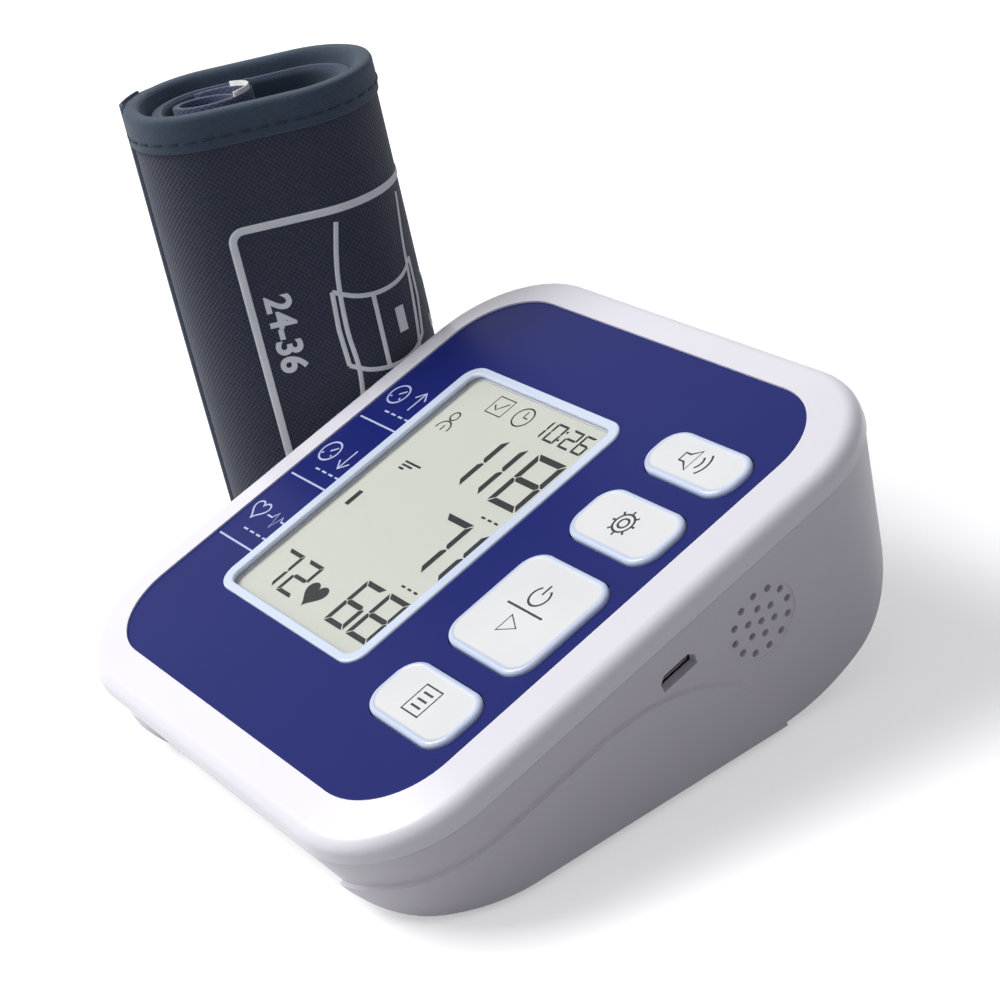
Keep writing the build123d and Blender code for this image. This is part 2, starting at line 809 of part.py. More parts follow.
with BuildPart() as battery_contacts:
    for number in range(4):
        cell_y = bay_front + fit + cell_pitch * (number + 0.5)
        for end in (1, -1):
            with BuildSketch(Plane.YZ.offset(end * (bay_half - press))):
                with Locations((cell_y, cell_z)):
                    Rectangle(contact_width, contact_width)
            extrude(amount=-end * contact_thickness)
export(battery_contacts, "battery_contacts")

with BuildPart() as battery_springs:
    for number in range(4):
        cell_y = bay_front + fit + cell_pitch * (number + 0.5)
        spring_end = -1 if number % 2 else 1
        start = bay_half - press - contact_thickness
        room = start - (cell_length + cell_nub_length) / 2
        with BuildSketch(Plane.YZ.offset(spring_end * start)):
            with Locations((cell_y, cell_z)):
                Circle(spring_radius)
                Circle(spring_radius - spring_wire, mode=Mode.SUBTRACT)
        extrude(amount=-spring_end * room)
export(battery_springs, "battery_springs")

with BuildPart() as pump_motor:
    with BuildSketch(Plane.YZ.offset(motor_left)):
        with Locations((pump_y, pump_z)):
            Circle(motor_radius)
    extrude(amount=motor_length)
    fillet(pump_motor.edges().filter_by(GeomType.CIRCLE), motor_round)
    with BuildSketch(Plane.YZ.offset(motor_left)):
        with Locations((pump_y, pump_z)):
            Circle(shaft_radius + run_clearance)
    extrude(amount=shaft_grip, mode=Mode.SUBTRACT)
export(pump_motor, "pump_motor")

with BuildPart() as pump_head:
    with BuildSketch(Plane.YZ.offset(motor_left)):
        with Locations((pump_y, pump_z)):
            RectangleRounded(2 * head_half, 2 * head_half, head_corner)
    extrude(amount=-head_length)
    with BuildSketch(Plane.YZ.offset(motor_left)):
        with Locations((pump_y, pump_z)):
            Circle(cavity_radius)
    extrude(amount=-cavity_length, mode=Mode.SUBTRACT)
    with BuildSketch(Plane.YZ.offset(motor_left - head_length)):
        with Locations((pump_y, pump_z)):
            Circle(nozzle_radius)
    extrude(amount=-nozzle_length)
export(pump_head, "pump_head")

with BuildPart() as pump_shaft:
    with BuildSketch(Plane.YZ.offset(motor_left + shaft_grip - shaft_end_gap)):
        with Locations((pump_y, pump_z)):
            Circle(shaft_radius)
    extrude(amount=shaft_end_gap - shaft_grip - shaft_reach)
    with BuildSketch(Plane.YZ.offset(motor_left - shaft_reach)):
        with Locations((pump_y, pump_z + cam_offset)):
            Circle(cam_radius)
    extrude(amount=cam_length)
export(pump_shaft, "pump_shaft")

with BuildPart() as air_manifold:
    with BuildSketch(Plane.XY.offset(manifold_z - manifold_height / 2)):
        with Locations((manifold_x, manifold_y)):
            RectangleRounded(manifold_width, manifold_length, manifold_corner)
    extrude(amount=manifold_height)
    for end in (1, -1):
        with BuildSketch(Plane.XZ.offset(-(manifold_y + end * manifold_length / 2))):
            with Locations((manifold_x, manifold_z)):
                Circle(nozzle_radius)
        extrude(amount=-end * nipple_length)
    with BuildSketch(Plane.XY.offset(manifold_z + manifold_height / 2)):
        with Locations((manifold_x, sensor_nozzle_y)):
            Circle(nozzle_radius)
    extrude(amount=nipple_length)
export(air_manifold, "air_manifold")

with BuildPart() as exhaust_valve:
    with BuildSketch(Plane.XY.offset(manifold_z + manifold_height / 2)):
        with Locations((manifold_x, valve_y)):
            RectangleRounded(valve_width, valve_length, valve_corner)
    extrude(amount=valve_height)
    with BuildSketch(Plane.XZ.offset(-(valve_y - valve_length / 2))):
        with Locations((manifold_x, valve_z)):
            Circle(plunger_radius + run_clearance)
    extrude(amount=-plunger_bore, mode=Mode.SUBTRACT)
export(exhaust_valve, "exhaust_valve")

with BuildPart() as valve_plunger:
    with BuildSketch(Plane.XZ.offset(-(valve_y - valve_length / 2 + plunger_bore - plunger_travel - press))):
        with Locations((manifold_x, valve_z)):
            Circle(plunger_radius)
    extrude(amount=plunger_length)
export(valve_plunger, "valve_plunger")

with BuildPart() as pressure_sensor:
    with BuildSketch(face.offset(board_under)):
        with Locations((manifold_x, sensor_along)):
            Rectangle(sensor_width, sensor_width)
    extrude(amount=-sensor_height)
    with BuildSketch(face.offset(board_under - sensor_height)):
        with Locations((manifold_x, sensor_along)):
            Circle(sensor_port)
    extrude(amount=-sensor_port_length)
export(pressure_sensor, "pressure_sensor")

with BuildPart() as air_socket:
    with BuildSketch(socket_plane):
        Circle(socket_flange)
    extrude(amount=socket_flange_height)
    with BuildSketch(socket_plane):
        Circle(socket_radius)
    extrude(amount=-socket_length)
    with BuildSketch(socket_plane.offset(socket_flange_height)):
        Circle(socket_bore)
    extrude(amount=-socket_bore_length, mode=Mode.SUBTRACT)
export(air_socket, "air_socket")

socket_end = socket_plane.origin - socket_plane.z_dir * socket_length
tubes = {
    "pump_tube": [
        (motor_left - head_length - nozzle_length, pump_y, pump_z),
        (manifold_x, pump_y, pump_z),
        (manifold_x, manifold_rear + pump_tube_end, manifold_z),
        (manifold_x, manifold_rear, manifold_z),
    ],
    "socket_tube": [
        tuple(socket_end),
        tuple(socket_end - socket_plane.z_dir * socket_run),
        (manifold_x, manifold_front - socket_run, manifold_z),
        (manifold_x, manifold_front, manifold_z),
    ],
    "sensor_tube": [
        (manifold_x, sensor_nozzle_y, manifold_z + manifold_height / 2 + nipple_length),
        (manifold_x, sensor_nozzle_y, sensor_bend_z),
        face_point(manifold_x, sensor_along, board_under - sensor_height - sensor_port_length),
    ],
}
for name, route in tubes.items():
    points = [Vector(*p) for p in route]
    radii = []
    for before, corner, after in zip(points, points[1:], points[2:]):
        turn = (corner - before).get_angle(after - corner)
        run = min((corner - before).length, (after - corner).length)
        radii.append(0.45 * run / tan(radians(turn / 2)))
    with BuildPart() as tube:
        with BuildLine() as path:
            FilletPolyline(*points, radius=radii)
        with BuildSketch(Plane(path.line @ 0, z_dir=path.line % 0)):
            Circle(tube_radius)
        sweep()
    export(tube, name)

with BuildPart() as pump_strap:
    for rib_x in rib_places:
        with BuildSketch(Plane.YZ.offset(rib_x)):
            with Locations((pump_y, pump_z)):
                Circle(motor_radius + rib_wall)
                Circle(motor_radius + press, mode=Mode.SUBTRACT)
                Rectangle(4 * motor_radius, 2 * motor_radius, align=(Align.CENTER, Align.MAX), mode=Mode.SUBTRACT)
        extrude(amount=rib_wall)
export(pump_strap, "pump_straps")

with BuildPart() as case_screws:
    with BuildSketch(face.offset(-boss_top - screw_seat)):
        with Locations(*boss_places):
            Circle(screw_head_radius)
    extrude(amount=-screw_head_height)
    with BuildSketch(face.offset(-boss_top - screw_seat)):
        with Locations(*boss_places):
            Circle(screw_radius)
    extrude(amount=screw_seat + screw_bite)
export(case_screws, "case_screws")

with BuildPart() as rubber_feet:
    with BuildSketch(Plane.XY):
        with Locations(*foot_places):
            Circle(foot_radius)
    extrude(amount=foot_height + foot_seat)
    foot_edges = rubber_feet.faces().group_by(Axis.Z)[0].edges()
    fillet(foot_edges, foot_round)
export(rubber_feet, "rubber_feet")


def cuff_ring(inset, thickness, low, high):
    """One layer of the rolled cuff: a flat oval ring, some millimetres inside the outer face."""
    with BuildPart() as ring:
        with BuildSketch(cuff_plane.offset(low)):
            RectangleRounded(cuff_depth - 2 * inset, cuff_width - 2 * inset, cuff_corner - inset)
            RectangleRounded(
                cuff_depth - 2 * (inset + thickness),
                cuff_width - 2 * (inset + thickness),
                cuff_corner - inset - thickness,
                mode=Mode.SUBTRACT,
            )
        extrude(amount=high - low)
    return ring.part


with BuildPart() as outer_cloth:
    add(cuff_ring(0, cloth, 0, cuff_height))
export(outer_cloth, "cuff_outer_cloth")

bladder_inset = cloth + layer_gap
with BuildPart() as air_bladder:
    add(cuff_ring(bladder_inset, bladder, cuff_hem, cuff_height - cuff_hem))
export(air_bladder, "cuff_bladder")

lining_inset = bladder_inset + bladder + layer_gap
with BuildPart() as cuff_lining:
    add(cuff_ring(lining_inset, lining, 0, cuff_height - lining_drop))
export(cuff_lining, "cuff_lining")

turn_inset = lining_inset + lining + layer_gap
with BuildPart() as inner_turn:
    add(cuff_ring(turn_inset, inner_turn_wall, 0, cuff_height - inner_turn_drop))
export(inner_turn, "cuff_inner_turn")

with BuildPart() as loop_patch:
    add(cuff_ring(-patch - press, patch, patch_low, patch_high))
    with BuildSketch(cuff_plane.offset(patch_low)):
        Rectangle(cuff_depth, patch_width, align=(Align.MAX, Align.CENTER))
    extrude(amount=patch_high - patch_low, mode=Mode.INTERSECT)
export(loop_patch, "cuff_loop_patch")

hook_inset = turn_inset + inner_turn_wall + press
with BuildPart() as hook_patch:
    add(cuff_ring(hook_inset, patch, patch_low, patch_high))
    with BuildSketch(cuff_plane.offset(patch_low)):
        Rectangle(cuff_depth, patch_width, align=(Align.MIN, Align.CENTER))
    extrude(amount=patch_high - patch_low, mode=Mode.INTERSECT)
export(hook_patch, "cuff_hook_patch")

port_base = cuff_plane.origin - cuff_plane.x_dir * (cuff_depth / 2 + press) + Vector(0, 0, port_height)
port_plane = Plane(port_base, z_dir=-cuff_plane.x_dir)
with BuildPart() as air_port:
    with BuildSketch(port_plane):
        Circle(port_radius)
    extrude(amount=port_length)
    with BuildSketch(port_plane.offset(port_length)):
        Circle(port_bore)
    extrude(amount=-port_length + wall, mode=Mode.SUBTRACT)
export(air_port, "cuff_air_port")
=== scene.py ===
"""Looks of an upper arm blood pressure monitor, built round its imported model. All lengths in metres."""
import math

import bmesh
import bpy
from mathutils import Matrix, Vector


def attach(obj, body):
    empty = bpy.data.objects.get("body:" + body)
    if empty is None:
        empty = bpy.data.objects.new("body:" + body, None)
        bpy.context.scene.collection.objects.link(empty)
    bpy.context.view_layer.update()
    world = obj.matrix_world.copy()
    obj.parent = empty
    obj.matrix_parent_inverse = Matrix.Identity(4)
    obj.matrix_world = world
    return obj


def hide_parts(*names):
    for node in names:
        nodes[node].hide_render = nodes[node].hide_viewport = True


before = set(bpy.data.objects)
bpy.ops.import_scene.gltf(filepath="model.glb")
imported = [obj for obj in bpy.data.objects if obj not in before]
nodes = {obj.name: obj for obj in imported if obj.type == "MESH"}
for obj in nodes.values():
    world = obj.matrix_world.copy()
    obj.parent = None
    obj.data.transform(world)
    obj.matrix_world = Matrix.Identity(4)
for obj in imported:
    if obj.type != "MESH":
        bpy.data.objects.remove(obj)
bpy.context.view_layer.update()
mm = 0.001

# Camera, solved from the console's rectangular face
camera_right = Vector((0.5474, 0.8124, -0.2010))
camera_down = Vector((0.2690, -0.3983, -0.8770))
camera_forward = Vector((-0.7925, 0.4260, -0.4365))
camera_data = bpy.data.cameras.new("camera")
camera_data.sensor_width = 36.0
camera_data.lens = 87.54
camera_data.clip_start = 0.01
camera = bpy.data.objects.new("camera", camera_data)
turned = Matrix((camera_right, -camera_down, -camera_forward)).transposed().to_4x4()
camera.matrix_world = Matrix.Translation(Vector((410.2, -207.8, 269.5)) * mm) @ turned
bpy.context.scene.collection.objects.link(camera)
bpy.context.scene.camera = camera
bpy.context.scene.view_settings.view_transform = "Standard"

# Places taken from the console's source, in millimetres
face_height = 43.5
face_tilt = 15.9
lcd_level = -1.4
key_top = 1.0
key_centre = 42.0
key_width = 28.0
key_corner = 5.6
key_places = {"sound": (37.5, 12.8), "set": (17.4, 15.2), "start": (-9.8, 27.6), "memory": (-37.1, 15.2)}
cuff_centre = Vector((-96.5, 24.0, 0.0))
cuff_turn = -28.0
cuff_depth = 38.0
cuff_width = 58.0
cuff_corner = 18.5
cuff_height = 120.0
inner_top = cuff_height - 3.2
tape_wall = 0.4
print_lift = 0.08
layout_scale = 1.2
print_gap = 0.01
side_width = 0.5
key_symbol_width = 0.55
key_symbol_scale = 1.15

face_frame = Matrix.Translation((0, 0, face_height * mm)) @ Matrix.Rotation(math.radians(face_tilt), 4, "X")


def colour(red, green, blue):
    """A screen colour from 0 to 255 as the linear colour that shaders take."""
    channels = [c / 255 for c in (red, green, blue)]
    return tuple(c / 12.92 if c < 0.04045 else ((c + 0.055) / 1.055) ** 2.4 for c in channels) + (1.0,)


# Shader groups

def new_group(name, inputs, outputs):
    """An empty node group with named sockets: (name, type, value) inputs and (name, type) outputs."""
    group = bpy.data.node_groups.new(name, "ShaderNodeTree")
    for label, kind, value in inputs:
        socket = group.interface.new_socket(label, in_out="INPUT", socket_type=f"NodeSocket{kind}")
        if value is not None:
            socket.default_value = value
    for label, kind in outputs:
        group.interface.new_socket(label, in_out="OUTPUT", socket_type=f"NodeSocket{kind}")
    return group, group.nodes.new("NodeGroupInput").outputs, group.nodes.new("NodeGroupOutput").inputs


def node(tree, kind, feeds=None, **settings):
    """Adds a node, sets its properties, and feeds its inputs from sockets or plain values."""
    made = tree.nodes.new(f"ShaderNode{kind}")
    for key, value in settings.items():
        setattr(made, key, value)
    for key, value in (feeds or {}).items():
        if isinstance(value, bpy.types.NodeSocket):
            tree.links.new(value, made.inputs[key])
        else:
            made.inputs[key].default_value = value
    return made.outputs


def maths(tree, operation, *values):
    return node(tree, "Math", dict(enumerate(values)), operation=operation)[0]


def blend_colours(tree, factor, first, second):
    made = tree.nodes.new("ShaderNodeMix")
    made.data_type = "RGBA"
    for key, value in ((0, factor), (6, first), (7, second)):
        if isinstance(value, bpy.types.NodeSocket):
            tree.links.new(value, made.inputs[key])
        else:
            made.inputs[key].default_value = value
    return made.outputs[2]


def make_moulded_grain():
    """Fine grain and slow unevenness of a moulded or cast surface, on Object coordinates."""
    group, given, out = new_group(
        "moulded_grain",
        [("Vector", "Vector", None), ("Colour", "Color", None), ("Shade", "Color", None),
         ("Grain Size", "Float", 1500.0), ("Cloud Size", "Float", 30.0), ("Roughness", "Float", 0.4),
         ("Roughness Spread", "Float", 0.1)],
        [("Colour", "Color"), ("Roughness", "Float"), ("Height", "Float")],
    )
    cloud = node(group, "TexNoise", {"Vector": given["Vector"], "Scale": given["Cloud Size"], "Detail": 3.0})["Fac"]
    grain = node(group, "TexNoise", {"Vector": given["Vector"], "Scale": given["Grain Size"], "Detail": 2.0})["Fac"]
    mixed = blend_colours(group, cloud, given["Colour"], given["Shade"])
    spread = maths(group, "MULTIPLY", maths(group, "SUBTRACT", grain, 0.5), given["Roughness Spread"])
    group.links.new(mixed, out["Colour"])
    group.links.new(maths(group, "ADD", given["Roughness"], spread), out["Roughness"])
    group.links.new(grain, out["Height"])
    return group


def make_weave():
    """Plain weave on a piece's own UV map, in metres: threads over and under each other, darkened towards the Shade
    colour where the weave sinks, as painted shade between the threads.
    """
    group, given, out = new_group(
        "plain_weave",
        [("Vector", "Vector", None), ("Pitch Across", "Float", 0.0008), ("Pitch Along", "Float", 0.0008),
         ("Colour", "Color", None), ("Shade", "Color", None)],
        [("Colour", "Color"), ("Height", "Float")],
    )
    parts = node(group, "SeparateXYZ", {"Vector": given["Vector"]})
    waves = []
    for axis, pitch in (("X", "Pitch Across"), ("Y", "Pitch Along")):
        turns = maths(group, "DIVIDE", parts[axis], given[pitch])
        waves.append(maths(group, "SINE", maths(group, "MULTIPLY", turns, 2 * math.pi)))
    crossing = maths(group, "MULTIPLY", waves[0], waves[1])
    height = maths(group, "MULTIPLY_ADD", crossing, 0.5, 0.5)
    uneven = node(group, "TexNoise", {"Vector": given["Vector"], "Scale": 900.0, "Detail": 2.0})["Fac"]
    # painted shade: the colour goes towards Shade where the weave's height is low, between the threads, varied by
    # random unevenness
    mask = maths(group, "MULTIPLY", height, maths(group, "MULTIPLY_ADD", uneven, 0.8, 0.5))
    group.links.new(blend_colours(group, mask, given["Shade"], given["Colour"]), out["Colour"])
    group.links.new(height, out["Height"])
    return group


def make_rim_mask():
    """1 near the outline of a rounded rectangle that lies on the sloping face, 0 further in."""
    group, given, out = new_group(
        "rounded_rim",
        [("Vector", "Vector", None), ("Centre", "Vector", None), ("Half Width", "Float", 0.014),
         ("Half Length", "Float", 0.01), ("Corner", "Float", 0.0056), ("Rim", "Float", 0.0016),
         ("Fade", "Float", 0.0006)],
        [("Mask", "Float")],
    )
    local = node(
        group, "Mapping", {"Vector": given["Vector"], "Location": given["Centre"],
                           "Rotation": (math.radians(face_tilt), 0.0, 0.0)}, vector_type="TEXTURE",
    )["Vector"]
    parts = node(group, "SeparateXYZ", {"Vector": local})
    squares = []
    for axis, half in (("X", "Half Width"), ("Y", "Half Length")):
        past = maths(group, "SUBTRACT", maths(group, "ABSOLUTE", parts[axis]), given[half])
        past = maths(group, "MAXIMUM", maths(group, "ADD", past, given["Corner"]), 0.0)
        squares.append(maths(group, "MULTIPLY", past, past))
    inside = maths(group, "SUBTRACT", given["Corner"], maths(group, "SQRT", maths(group, "ADD", *squares)))
    share = maths(group, "DIVIDE", maths(group, "SUBTRACT", given["Rim"], inside), given["Fade"])
    made = group.nodes.new("ShaderNodeClamp")
    group.links.new(share, made.inputs["Value"])
    group.links.new(made.outputs[0], out["Mask"])
    return group


moulded_grain = make_moulded_grain()
plain_weave = make_weave()
rounded_rim = make_rim_mask()


def place_group(tree, group, feeds):
    made = tree.nodes.new("ShaderNodeGroup")
    made.node_tree = group
    for key, value in feeds.items():
        if isinstance(value, bpy.types.NodeSocket):
            tree.links.new(value, made.inputs[key])
        else:
            made.inputs[key].default_value = value
    return made.outputs


def new_material(name, **constants):
    """A material with a Principled BSDF, its constant sockets set by name."""
    material = bpy.data.materials.new(name)
    material.use_nodes = True
    tree = material.node_tree
    shader = tree.nodes["Principled BSDF"]
    for key, value in constants.items():
        shader.inputs[key.replace("_", " ")].default_value = value
    return material, tree, shader


def add_bump(tree, shader, height, distance, strength=1.0):
    bump = node(tree, "Bump", {"Height": height, "Distance": distance, "Strength": strength})
    tree.links.new(bump["Normal"], shader.inputs["Normal"])


def moulded(name, base, shade, roughness=0.4, spread=0.1, grain=1500.0, cloud=30.0, bump=0.00002, **constants):
    """A moulded, cast or plated finish: fine grain, slow unevenness and a little spread in its gloss."""
    material, tree, shader = new_material(name, **constants)
    where = node(tree, "TexCoord")["Object"]
    made = place_group(tree, moulded_grain, {
        "Vector": where, "Colour": base, "Shade": shade, "Grain Size": grain, "Cloud Size": cloud,
        "Roughness": roughness, "Roughness Spread": spread,
    })
    tree.links.new(made["Colour"], shader.inputs["Base Color"])
    tree.links.new(made["Roughness"], shader.inputs["Roughness"])
    add_bump(tree, shader, made["Height"], bump)
    return material


def woven(name, base, shade, across=0.0008, along=0.0008, bump=0.00012, roughness=0.85, **constants):
    """Cloth or tape woven on the piece's UV map, with painted shade in the hollows of the weave."""
    material, tree, shader = new_material(name, Roughness=roughness, **constants)
    where = node(tree, "UVMap")["UV"]
    made = place_group(tree, plain_weave, {
        "Vector": where, "Pitch Across": across, "Pitch Along": along, "Colour": base, "Shade": shade,
    })
    tree.links.new(made["Colour"], shader.inputs["Base Color"])
    add_bump(tree, shader, made["Height"], bump)
    return material


white_cover = moulded("white_cover", colour(244, 242, 249), colour(238, 236, 245), 0.30, 0.08, bump=0.000006,
                      Coat_Weight=0.15)
grey_shell = moulded("grey_shell", colour(232, 228, 236), colour(226, 222, 231), 0.45, 0.2, grain=2600.0, bump=0.00002)
blue_face = moulded("blue_face", colour(27, 36, 110), colour(30, 40, 114), 0.3, 0.04, grain=3000.0, bump=0.000001,
                    Specular_IOR_Level=0.1)
pale_rim = moulded("pale_rim", colour(222, 232, 250), colour(214, 226, 247), 0.25, 0.05, bump=0.000004,
                   Coat_Weight=0.3)
lcd_back = moulded("lcd_back", colour(214, 216, 203), colour(209, 212, 199), 0.6, 0.1, cloud=12.0, bump=0.000002)
lcd_black = moulded("lcd_black", colour(6, 6, 8), colour(10, 10, 12), 0.5, 0.1, bump=0.000002,
                    Specular_IOR_Level=0.1)
ink_dark = moulded("ink_dark", colour(24, 26, 30), colour(30, 32, 36), 0.5, 0.1, bump=0.000002)
ink_pale = moulded("ink_pale", colour(196, 202, 236), colour(188, 195, 230), 0.45, 0.1, bump=0.000002)
ink_white = moulded("ink_white", colour(238, 240, 242), colour(226, 229, 233), 0.7, 0.2, cloud=300.0, bump=0.00003)
black_plastic = moulded("black_plastic", colour(34, 35, 38), colour(42, 43, 46), 0.45, 0.15)
dark_rubber = moulded("dark_rubber", colour(38, 38, 40), colour(48, 48, 50), 0.8, 0.2, grain=900.0, bump=0.00006)
clear_silicone = moulded("clear_silicone", colour(205, 207, 203), colour(190, 192, 188), 0.45, 0.1)
board_green = moulded("board_green", colour(18, 92, 50), colour(24, 104, 58), 0.35, 0.1, cloud=200.0)
zinc_steel = moulded("zinc_steel", colour(190, 190, 193), colour(165, 166, 170), 0.32, 0.2, grain=800.0, Metallic=1.0)
tin_plate = moulded("tin_plate", colour(214, 214, 212), colour(196, 196, 196), 0.28, 0.15, grain=600.0, Metallic=1.0)
cell_jacket = moulded("cell_jacket", colour(34, 38, 46), colour(26, 30, 38), 0.3, 0.1, Metallic=0.4)
# the second colour of each woven finish is painted shade for the hollows of its weave
binding_tape = woven("binding_tape", colour(70, 92, 114), colour(24, 36, 50), 0.0009, 0.0006, 0.00012,
                     Sheen_Weight=0.2)
cuff_cloth = woven("cuff_cloth", colour(52, 62, 86), colour(15, 20, 33), 0.0013, 0.0013, 0.00015, Sheen_Weight=0.15)
cuff_inside = woven("cuff_inside", colour(58, 72, 110), colour(26, 34, 58), 0.0011, 0.0011, 0.0001, Sheen_Weight=0.3)
thread = woven("thread", colour(34, 48, 66), colour(18, 28, 42), 0.0006, 0.0012, 0.00005)
loop_pile = moulded("loop_pile", colour(40, 48, 64), colour(22, 28, 40), 0.95, 0.1, grain=1800.0, cloud=700.0,
                    bump=0.0006, Sheen_Weight=0.4)
hook_tape = moulded("hook_tape", colour(46, 50, 60), colour(26, 28, 36), 0.7, 0.2, grain=2200.0, cloud=900.0,
                    bump=0.0005)
tag_cloth = woven("tag_cloth", colour(240, 240, 240), colour(214, 214, 214), 0.0006, 0.0006, 0.00004)

lens_clear, lens_tree, lens_shader = new_material("lens_clear", Alpha=0.03, Roughness=0.08)
lens_haze = node(lens_tree, "TexNoise", {"Vector": node(lens_tree, "TexCoord")["Object"], "Scale": 40.0})["Fac"]
lens_tree.links.new(
    blend_colours(lens_tree, lens_haze, colour(228, 234, 240), colour(236, 241, 246)), lens_shader.inputs["Base Color"]
)


def key_material(name, along, length):
    """Pearly key with a pale blue rim that follows its outline."""
    material, tree, shader = new_material(name, Coat_Weight=0.35, Coat_Roughness=0.12)
    where = node(tree, "TexCoord")["Object"]
    centre = face_frame @ Vector((key_centre * mm, along * mm, 0))
    rim = place_group(tree, rounded_rim, {
        "Vector": where, "Centre": tuple(centre), "Half Width": key_width / 2 * mm, "Half Length": length / 2 * mm,
        "Corner": key_corner * mm,
    })
    pearl = place_group(tree, moulded_grain, {
        "Vector": where, "Colour": colour(244, 245, 244), "Shade": colour(226, 227, 229), "Grain Size": 1200.0,
        "Cloud Size": 55.0, "Roughness": 0.3, "Roughness Spread": 0.08,
    })
    tree.links.new(
        blend_colours(tree, rim["Mask"], pearl["Colour"], colour(206, 219, 244)), shader.inputs["Base Color"]
    )
    tree.links.new(pearl["Roughness"], shader.inputs["Roughness"])
    add_bump(tree, shader, rim["Mask"], 0.00025, 0.6)
    return material


def dress(material, *names):
    for name in names:
        for slot in nodes[name].material_slots:
            slot.material = material


dress(white_cover, "front_cover", "lcd_reflector")
dress(grey_shell, "lower_housing", "battery_cover", "air_socket")
dress(blue_face, "overlay_panel")
dress(pale_rim, "display_bezel")
dress(lens_clear, "display_lens")
dress(lcd_back, "lcd_glass")
dress(board_green, "main_board")
dress(black_plastic, "lcd_holder", "tact_switches", "board_chips", "speaker_cone", "pump_head", "air_manifold",
      "exhaust_valve", "pressure_sensor", "cuff_air_port")
dress(zinc_steel, "board_screws", "case_screws", "speaker_frame", "speaker_magnet", "pump_motor", "pump_shaft",
      "pump_straps", "valve_plunger")
dress(tin_plate, "battery_contacts", "battery_springs", "capacitors", "usb_socket")
dress(clear_silicone, "connector_strip", "pump_tube", "socket_tube", "sensor_tube")
dress(cell_jacket, "battery_1", "battery_2", "battery_3", "battery_4")
dress(dark_rubber, "rubber_feet", "cuff_bladder")
dress(loop_pile, "cuff_loop_patch")
dress(hook_tape, "cuff_hook_patch")
dress(cuff_cloth, "cuff_outer_cloth", "cuff_lining", "cuff_inner_turn")
for key, (along, length) in key_places.items():
    dress(key_material(f"{key}_key_pearl", along, length), f"{key}_button")


# Printed marks: flat drawings in millimetres, laid on a surface by a place function

def on_face(level):
    """Lays a flat drawing on the sloping face, some millimetres out of it."""
    def place(point):
        return face_frame @ (Vector((point.x, point.y, point.z + level)) * mm)
    return place


def arc(x, y, radius, start, end, steps=14):
    angles = [math.radians(start + (end - start) * n / steps) for n in range(steps + 1)]
    return [(x + radius * math.cos(a), y + radius * math.sin(a)) for a in angles]


def ring(x, y, radius, steps=28):
    return arc(x, y, radius, 0, 360, steps)


def box_outline(x, y, width, height):
    x0, x1, y0, y1 = x - width / 2, x + width / 2, y - height / 2, y + height / 2
    return [(x0, y0), (x1, y0), (x1, y1), (x0, y1), (x0, y0)]


def moved(strokes, x, y, scale=1.0):
    return [[(x + scale * px, y + scale * py) for px, py in stroke] for stroke in strokes]


def finer(points, step):
    """The same line with points no further apart than a step, so that it can bend with the surface."""
    made = [points[0]]
    for (x0, y0), (x1, y1) in zip(points, points[1:]):
        count = max(1, math.ceil(math.hypot(x1 - x0, y1 - y0) / step))
        made += [(x0 + (x1 - x0) * n / count, y0 + (y1 - y0) * n / count) for n in range(1, count + 1)]
    return made


def stroke_mesh(strokes, width, depth):
    """Lines of one width as a flat-bottomed raised mesh."""
    curve = bpy.data.curves.new("strokes", "CURVE")
    curve.dimensions = "3D"
    curve.bevel_depth = width / 2
    curve.bevel_resolution = 1
    curve.use_fill_caps = True
    for points in strokes:
        closed = math.dist(points[0], points[-1]) < 1e-6
        used = points[:-1] if closed else points
        spline = curve.splines.new("POLY")
        spline.points.add(len(used) - 1)
        for point, (x, y) in zip(spline.points, used):
            point.co = (x, y, 0, 1)
        spline.use_cyclic_u = closed
    holder = bpy.data.objects.new("strokes", curve)
    mesh = bpy.data.meshes.new_from_object(holder)
    bpy.data.objects.remove(holder)
    mesh.transform(Matrix.Diagonal((1, 1, 2 * depth / width, 1)))
    return mesh


def printed(name, material, body, place, strokes=(), width=0.5, shapes=(), extra=(), depth=0.05):
    """One printed piece from lines, filled outlines and ready meshes, laid on a surface."""
    bm = bmesh.new()
    if strokes:
        bm.from_mesh(stroke_mesh(strokes, width, depth))
    for mesh in extra:
        bm.from_mesh(mesh)
    for outline in shapes:
        flat = bm.faces.new([bm.verts.new((x, y, 0)) for x, y in outline])
        grown = bmesh.ops.extrude_face_region(bm, geom=[flat])["geom"]
        raised = [g for g in grown if isinstance(g, bmesh.types.BMVert)]
        bmesh.ops.translate(bm, verts=raised, vec=(0, 0, depth))
    for vertex in bm.verts:
        vertex.co = place(vertex.co)
    bmesh.ops.recalc_face_normals(bm, faces=bm.faces)
    finished(bm, name, material, body)


def finished(bm, name, material, body, smooth=False):
    """Turns a bmesh into a piece that rides on a body."""
    mesh = bpy.data.meshes.new(name)
    bm.to_mesh(mesh)
    bm.free()
    mesh.materials.append(material)
    for polygon in mesh.polygons:
        polygon.use_smooth = smooth
    piece = bpy.data.objects.new(name, mesh)
    bpy.context.scene.collection.objects.link(piece)
    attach(piece, body)
    return piece


digit_bars = {"0": "abcdef", "1": "bc", "2": "abged", "6": "afgedc", "7": "abc", "8": "abcdefg"}


